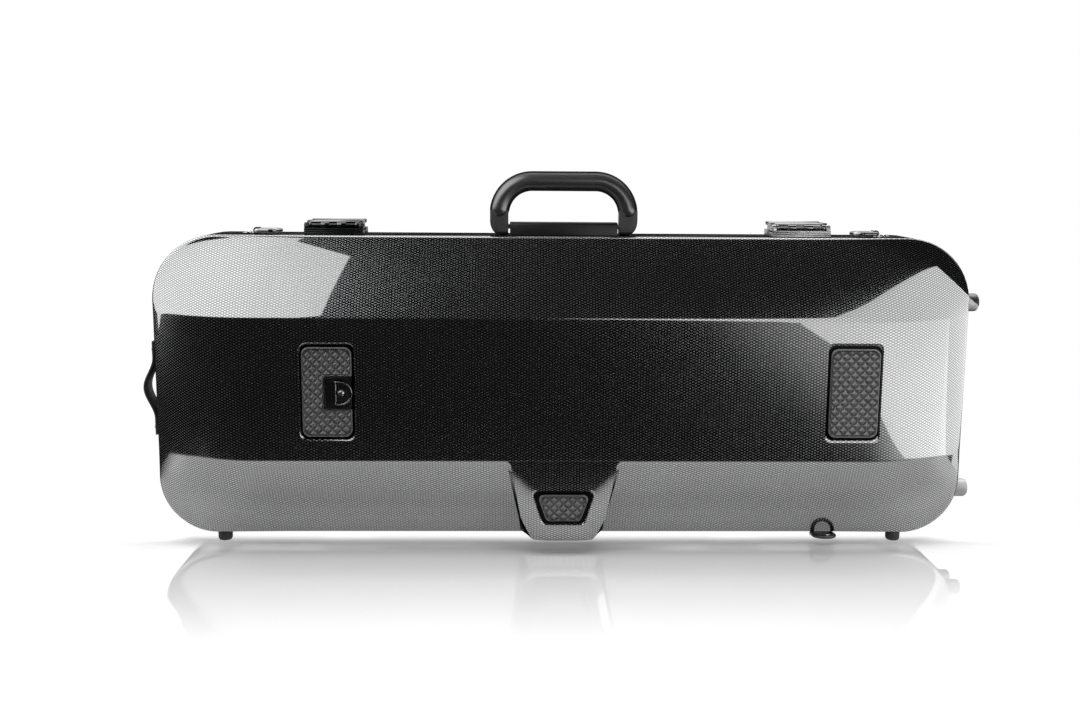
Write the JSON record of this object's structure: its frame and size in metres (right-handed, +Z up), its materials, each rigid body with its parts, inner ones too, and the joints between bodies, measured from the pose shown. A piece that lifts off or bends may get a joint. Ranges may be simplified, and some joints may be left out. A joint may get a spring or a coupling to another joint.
{
  "type": "violin case",
  "caption": "Oblong hard-shell violin case on its spine: two hinged glossy shells, top handle, draw latches, strap rings, rubber pads, fitted tray and lined lid.",
  "frame": {"origin": "centre of the bounding box on X and Y, at the bottom of the feet on Z", "axes": "+X along the case towards the end with the metal studs, +Y from the bottom shell to the lid, +Z up towards the handle"},
  "size_m": [0.8092, 0.1538, 0.3623],
  "materials": {
    "shell": "clear-coated woven lozenge pattern, high gloss",
    "edge": "satin moulding",
    "hinge_metal": "brushed",
    "foot_rubber": "matte",
    "stud_metal": "brushed",
    "pad_rubber": "studded, matte",
    "cup_plastic": "satin",
    "bright_metal": "polished",
    "handle_plastic": "satin",
    "grip_rubber": "matte",
    "dark_metal": "satin gunmetal",
    "nickel": "satin nickel",
    "black_metal": "gloss black",
    "strap_leather": "smooth",
    "lining": "velour",
    "lining_dark": "velour"
  },
  "bodies": {
    "base": {"bottom_shell": "shell", "bottom_rim": "edge", "hinge_base_leaves": "hinge_metal", "hinge_pins": "hinge_metal", "base_feet": "foot_rubber", "base_end_studs": "stud_metal", "pad_left": "pad_rubber", "pad_right": "pad_rubber", "pad_nose": "pad_rubber", "pad_ring_cup": "cup_plastic", "pad_ring_clip": "nickel", "pad_ring_boss": "bright_metal", "handle_bar": "handle_plastic", "handle_pins": "nickel", "latch_base_left": "dark_metal", "latch_base_right": "nickel", "latch_pin_left": "nickel", "latch_pin_right": "nickel", "lug_top_left": "nickel", "lug_top_right": "nickel", "lug_bottom": "black_metal", "lug_screws": "bright_metal", "end_strap": "strap_leather", "end_strap_rivets": "bright_metal", "foam_tray": "lining", "suspension_pad_wide": "lining_dark", "suspension_pad_narrow": "lining_dark", "neck_cradle": "lining_dark", "neck_strap": "lining_dark"},
    "lid": {"lid_shell": "shell", "lid_rim": "edge", "hinge_lid_leaves": "hinge_metal", "lid_feet": "foot_rubber", "lid_end_studs": "stud_metal", "latch_keeper_left": "dark_metal", "latch_keeper_right": "nickel", "lid_liner": "lining", "bow_post_upper": "cup_plastic", "bow_post_lower": "cup_plastic", "bow_loop_upper": "lining_dark", "bow_loop_lower": "lining_dark"},
    "handle": {"handle_grip": "grip_rubber"},
    "latch_lever_left": {"latch_lever_left": "dark_metal"},
    "latch_lever_right": {"latch_lever_right": "nickel"},
    "pad_ring": {"pad_ring": "bright_metal"},
    "ring_top_left": {"ring_top_left": "black_metal"},
    "ring_top_right": {"ring_top_right": "black_metal"},
    "ring_bottom": {"ring_bottom": "black_metal"},
    "accessory_lid": {"accessory_lid": "lining", "accessory_tab": "strap_leather"},
    "bow_button_upper": {"bow_button_upper": "handle_plastic"},
    "bow_button_lower": {"bow_button_lower": "handle_plastic"}
  },
  "joints": [
    {"name": "lid_hinge", "type": "hinge", "parent": "base", "child": "lid", "pos_m": [0, 0.0049, 0.0058], "axis": [-1, 0, 0], "range_deg": [0, 100]},
    {"name": "handle_fold", "type": "hinge", "parent": "base", "child": "handle", "pos_m": [0, -0.0071, 0.3099], "axis": [1, 0, 0], "range_deg": [-70, 70]},
    {"name": "latch_left", "type": "hinge", "parent": "base", "child": "latch_lever_left", "pos_m": [-0.2195, -0.0106, 0.3102], "axis": [1, 0, 0], "range_deg": [0, 100]},
    {"name": "latch_right", "type": "hinge", "parent": "base", "child": "latch_lever_right", "pos_m": [0.2285, -0.0106, 0.3102], "axis": [1, 0, 0], "range_deg": [0, 100]},
    {"name": "pad_ring_fold", "type": "hinge", "parent": "base", "child": "pad_ring", "pos_m": [-0.2125, -0.0742, 0.1586], "axis": [0, 0, -1], "range_deg": [0, 100]},
    {"name": "ring_top_left_fold", "type": "hinge", "parent": "base", "child": "ring_top_left", "pos_m": [-0.293, -0.0081, 0.3048], "axis": [0, -1, 0], "range_deg": [0, 150]},
    {"name": "ring_top_right_fold", "type": "hinge", "parent": "base", "child": "ring_top_right", "pos_m": [0.301, -0.0081, 0.3048], "axis": [0, 1, 0], "range_deg": [0, 150]},
    {"name": "ring_bottom_fold", "type": "hinge", "parent": "base", "child": "ring_bottom", "pos_m": [0.26, -0.0151, 0.0068], "axis": [1, 0, 0], "range_deg": [0, 75]},
    {"name": "accessory_lid_fold", "type": "hinge", "parent": "base", "child": "accessory_lid", "pos_m": [-0.115, 0.0008, 0.1127], "axis": [1, 0, 0], "range_deg": [0, 90]},
    {"name": "bow_button_upper_turn", "type": "hinge", "parent": "lid", "child": "bow_button_upper", "pos_m": [0.2505, 0.0399, 0.1998], "axis": [0, 1, 0], "range_deg": [-90, 90]},
    {"name": "bow_button_lower_turn", "type": "hinge", "parent": "lid", "child": "bow_button_lower", "pos_m": [0.2505, 0.0399, 0.1118], "axis": [0, 1, 0], "range_deg": [-90, 90]}
  ]
}
